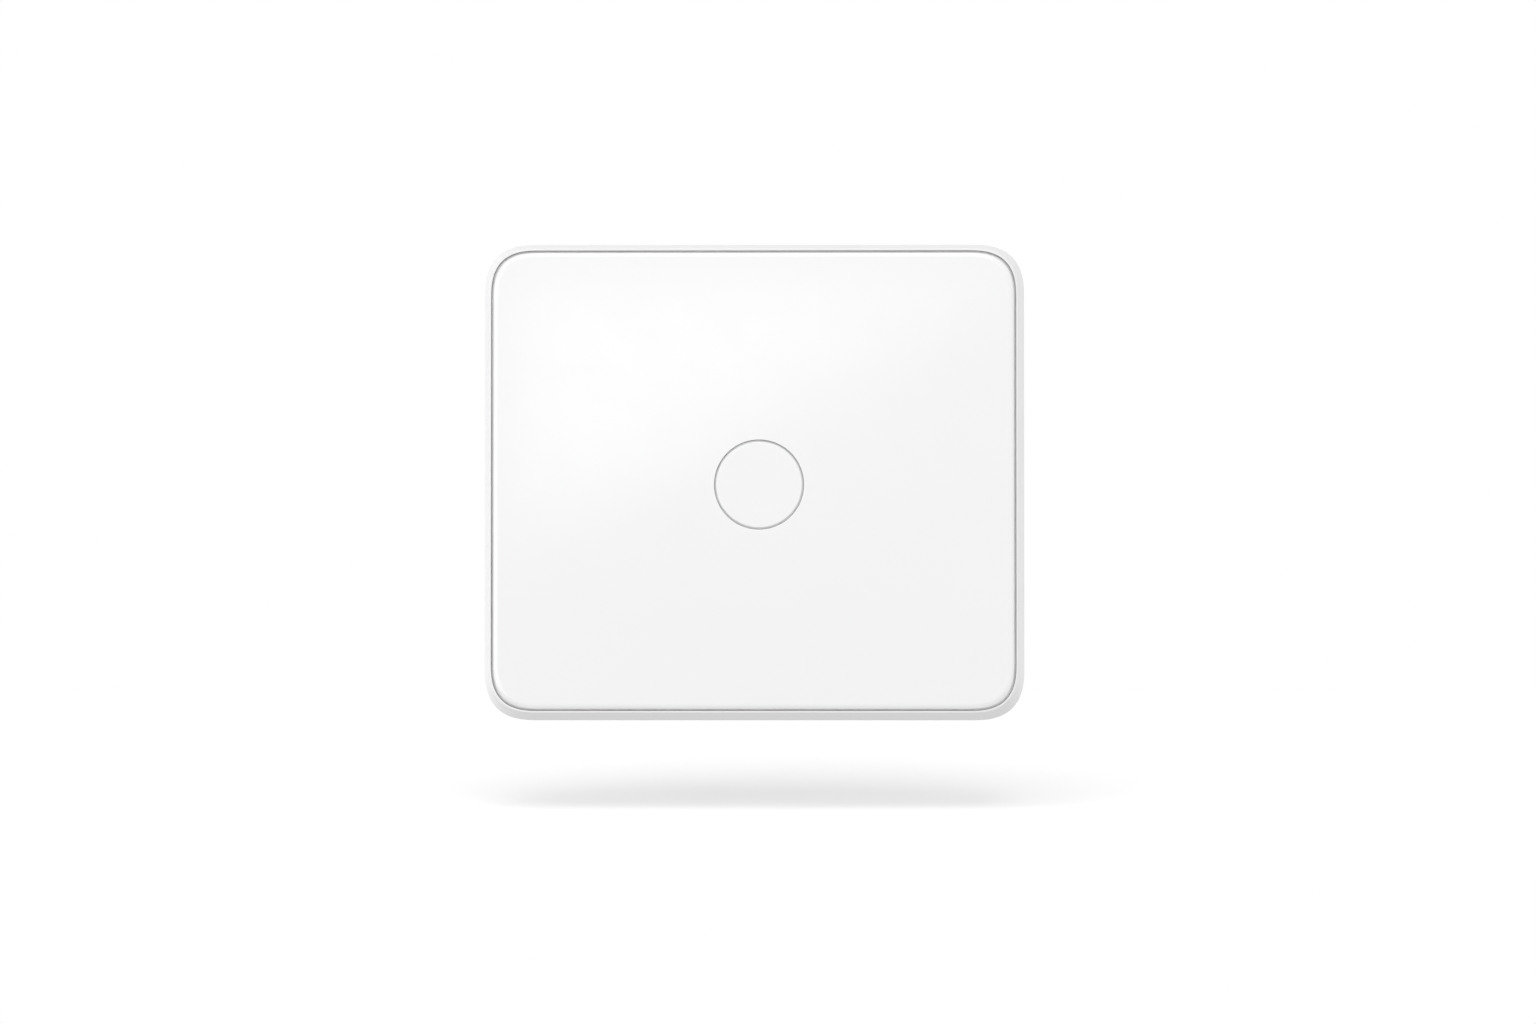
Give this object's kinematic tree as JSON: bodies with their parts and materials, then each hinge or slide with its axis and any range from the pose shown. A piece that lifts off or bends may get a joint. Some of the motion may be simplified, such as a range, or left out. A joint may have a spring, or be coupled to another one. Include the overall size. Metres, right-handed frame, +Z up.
{
  "type": "smart home hub",
  "caption": "Flat white gateway for a wall or table, with a round push button in its front panel, and a cable bay, sockets, keyholes and rubber feet at the back.",
  "frame": {"origin": "on the wall plane, midway between the seats of the two wall screws that the hub hangs on, 26 mm above the middle of the housing", "axes": "+X to the right as seen from the room, along the hub's width; +Y out of the back, into the wall; +Z up; the front faces -Y"},
  "size_m": [0.118, 0.026, 0.104],
  "materials": {
    "front_gloss": "high-gloss white moulded plastic",
    "housing_satin": "satin white moulded plastic",
    "cover_matte": "fine spark-eroded matte white plastic",
    "diffuser": "frosted translucent plastic",
    "foot_rubber": "soft grey rubber",
    "screw_steel": "zinc-plated steel",
    "tinned_steel": "bright tin or nickel plate",
    "contact_gold": "gold-plated spring contact",
    "board_green": "glass-fibre board under green solder mask",
    "chip_black": "matte moulded epoxy",
    "black_plastic": "black moulded plastic",
    "ferrite": "dark grey ferrite",
    "can_aluminium": "bright drawn can",
    "lamp_clear": "clear resin over a small lamp",
    "label_film": "blank silver-grey film"
  },
  "bodies": {
    "root": {"antenna_wire": "screw_steel", "board_screw_lower_left": "screw_steel", "board_screw_lower_right": "screw_steel", "board_screw_upper_left": "screw_steel", "board_screw_upper_right": "screw_steel", "capacitor_can_1": "can_aluminium", "capacitor_can_2": "can_aluminium", "crystal": "tinned_steel", "ethernet_contact_1": "contact_gold", "ethernet_contact_2": "contact_gold", "ethernet_contact_3": "contact_gold", "ethernet_contact_4": "contact_gold", "ethernet_contact_5": "contact_gold", "ethernet_contact_6": "contact_gold", "ethernet_contact_7": "contact_gold", "ethernet_contact_8": "contact_gold", "ethernet_jack_core": "black_plastic", "ethernet_jack_shield": "tinned_steel", "ethernet_light_1": "lamp_clear", "ethernet_light_2": "lamp_clear", "ethernet_transformer": "chip_black", "flash_chip": "chip_black", "foot_lower_left": "foot_rubber", "foot_lower_right": "foot_rubber", "foot_upper_left": "foot_rubber", "foot_upper_right": "foot_rubber", "front_panel": "front_gloss", "housing_screw_lower_left": "screw_steel", "housing_screw_lower_right": "screw_steel", "housing_screw_upper_left": "screw_steel", "housing_screw_upper_right": "screw_steel", "housing_shell": "housing_satin", "light_guide": "diffuser", "main_board": "board_green", "memory_chip": "chip_black", "power_inductor": "ferrite", "power_jack_body": "black_plastic", "power_jack_pin": "tinned_steel", "power_jack_spring": "tinned_steel", "power_regulator": "chip_black", "processor": "chip_black", "radio_board": "board_green", "radio_header": "black_plastic", "radio_shield": "tinned_steel", "rating_label": "label_film", "rear_cover": "cover_matte", "service_header": "black_plastic", "status_light_1": "lamp_clear", "status_light_2": "lamp_clear", "status_light_3": "lamp_clear", "switch_body": "black_plastic"},
    "button": {"button_cap": "front_gloss"},
    "plunger": {"switch_plunger": "foot_rubber"}
  },
  "joints": [
    {"name": "button_press", "type": "slide", "parent": "root", "child": "button", "axis": [0, 1, 0], "range_m": [0, 0.0005], "stiffness_N_per_m": 600},
    {"name": "plunger_press", "type": "slide", "parent": "root", "child": "plunger", "axis": [0, 1, 0], "range_m": [0, 0.0005]}
  ],
  "couplings": [
    {"joint": "plunger_press", "follows": "button_press", "ratio": 1}
  ]
}
